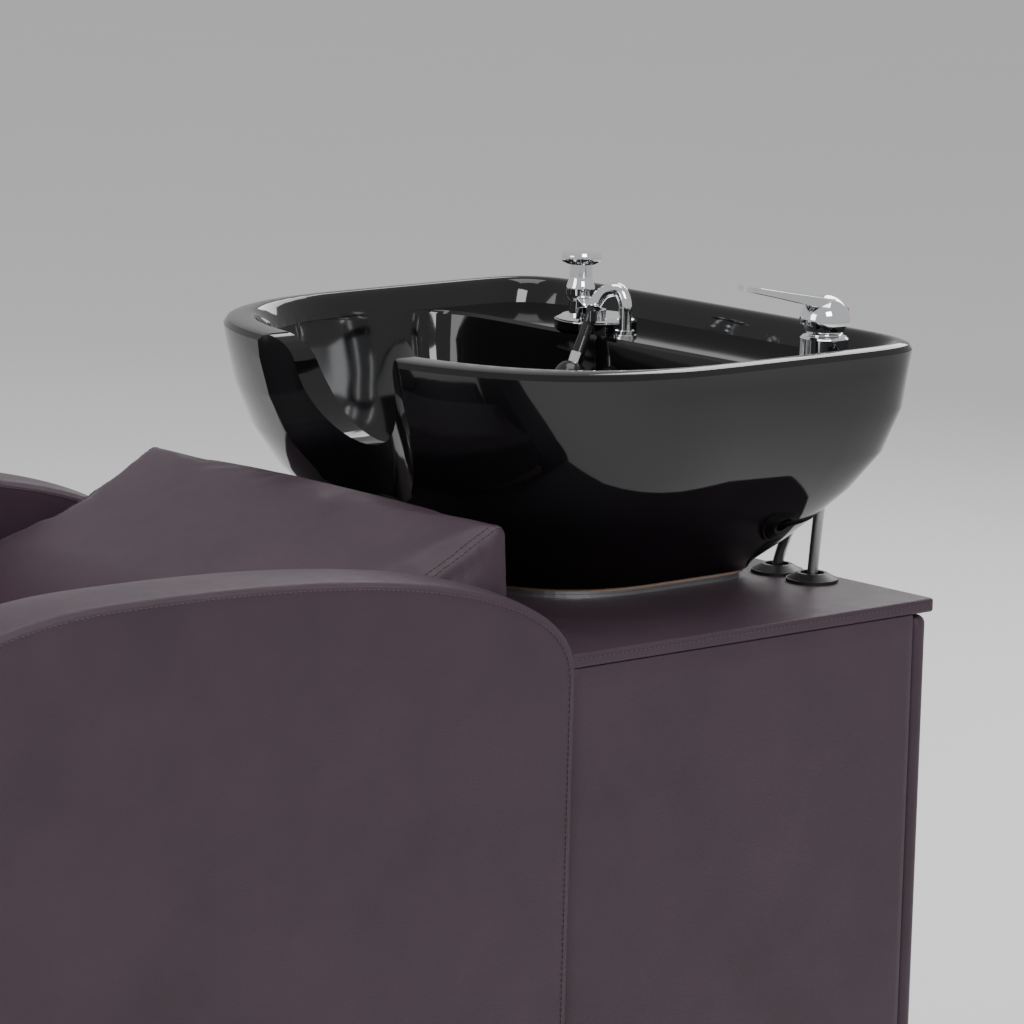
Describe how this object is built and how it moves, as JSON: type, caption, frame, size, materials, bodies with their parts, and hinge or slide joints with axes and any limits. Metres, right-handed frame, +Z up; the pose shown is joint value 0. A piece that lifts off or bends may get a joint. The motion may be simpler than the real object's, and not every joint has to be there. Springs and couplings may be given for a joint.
{
  "type": "shampoo backwash unit",
  "caption": "Salon shampoo chair with padded armrests, reclined back and a cabinet carrying a tilting glazed basin with lever mixer, column holder and hand shower.",
  "frame": {"origin": "centre of the footprint on the floor, under the middle of the unit", "axes": "+Z up, +Y towards the basin end, +X to the sitter's left when facing -Y"},
  "size_m": [0.66, 1.262, 0.9212],
  "materials": {
    "leather": "satin",
    "seat_leather": "satin",
    "plywood": "satin",
    "hardwood": "satin",
    "glazed_ceramic": "gloss",
    "chrome": "polished",
    "steel": "brushed",
    "braid": "satin",
    "black_rubber": "satin",
    "black_plastic": "gloss",
    "grey_plastic": "matte",
    "red_plastic": "gloss",
    "gasket": "satin"
  },
  "bodies": {
    "frame": {"right_armrest": "leather", "left_armrest": "leather", "seat_cushion": "seat_leather", "seat_board": "plywood", "seat_front_apron": "leather", "seat_bearers": "hardwood", "backrest_cushion": "seat_leather", "backrest_board": "plywood", "backrest_brackets": "steel", "cabinet_right_panel": "leather", "cabinet_left_panel": "leather", "cabinet_front_panel": "plywood", "cabinet_floor": "plywood", "cabinet_top_board": "leather", "door_hinge_fixed_leaves": "steel", "door_hinge_pins": "steel", "door_catch_magnet": "black_plastic", "glide_feet": "black_rubber", "tilt_base_plate": "steel", "tilt_hinge_pins": "steel", "tilt_plate_screws": "steel", "supply_grommets": "black_rubber"},
    "bowl": {"tilt_top_plate": "steel", "foot_gasket": "gasket", "basin": "glazed_ceramic", "drain_flange": "chrome", "drain_nut": "chrome", "drain_tailpiece": "chrome", "mixer_base_ring": "chrome", "mixer_body": "chrome", "mixer_fixing_nut": "steel", "column_plate": "chrome", "column_body": "chrome", "column_cap": "chrome", "column_nut": "steel", "handset_holder": "chrome", "hose_ferrule": "chrome", "shower_hose": "chrome", "hot_supply_hose": "braid", "cold_supply_hose": "braid", "hot_supply_nut": "steel", "cold_supply_nut": "steel"},
    "mixer_swivel": {"mixer_cartridge_cap": "chrome"},
    "mixer_handle": {"mixer_lever": "chrome", "mixer_mark_plug": "red_plastic"},
    "strainer": {"drain_strainer": "chrome"},
    "handset": {"handset_handle": "black_plastic", "handset_collar": "chrome", "handset_head": "black_plastic", "handset_spray_face": "grey_plastic"},
    "door": {"service_door": "leather", "door_hinge_moving_leaves": "steel", "door_strike_plate": "steel"}
  },
  "joints": [
    {"name": "basin_tilt", "type": "hinge", "parent": "frame", "child": "bowl", "pos_m": [0, 0.541, 0.652], "axis": [-1, 0, 0], "range_deg": [0, 8]},
    {"name": "mixer_temperature", "type": "hinge", "parent": "bowl", "child": "mixer_swivel", "pos_m": [0.208, 0.547, 0.887], "axis": [0, 0, 1], "range_deg": [-45, 45]},
    {"name": "mixer_flow", "type": "hinge", "parent": "mixer_swivel", "child": "mixer_handle", "pos_m": [0.208, 0.547, 0.887], "axis": [-0.9397, 0.342, 0], "range_deg": [0, 15]},
    {"name": "strainer_lift", "type": "slide", "parent": "bowl", "child": "strainer", "axis": [0, 0, 1], "range_m": [0, 0.06]},
    {"name": "handset_lift", "type": "slide", "parent": "bowl", "child": "handset", "axis": [0, -0.8, 0.6], "range_m": [0, 0.12], "deforming": ["shower_hose"]},
    {"name": "door_swing", "type": "hinge", "parent": "frame", "child": "door", "pos_m": [-0.321, 0.5665, 0.3], "axis": [0, 0, 1], "range_deg": [0, 100]}
  ]
}
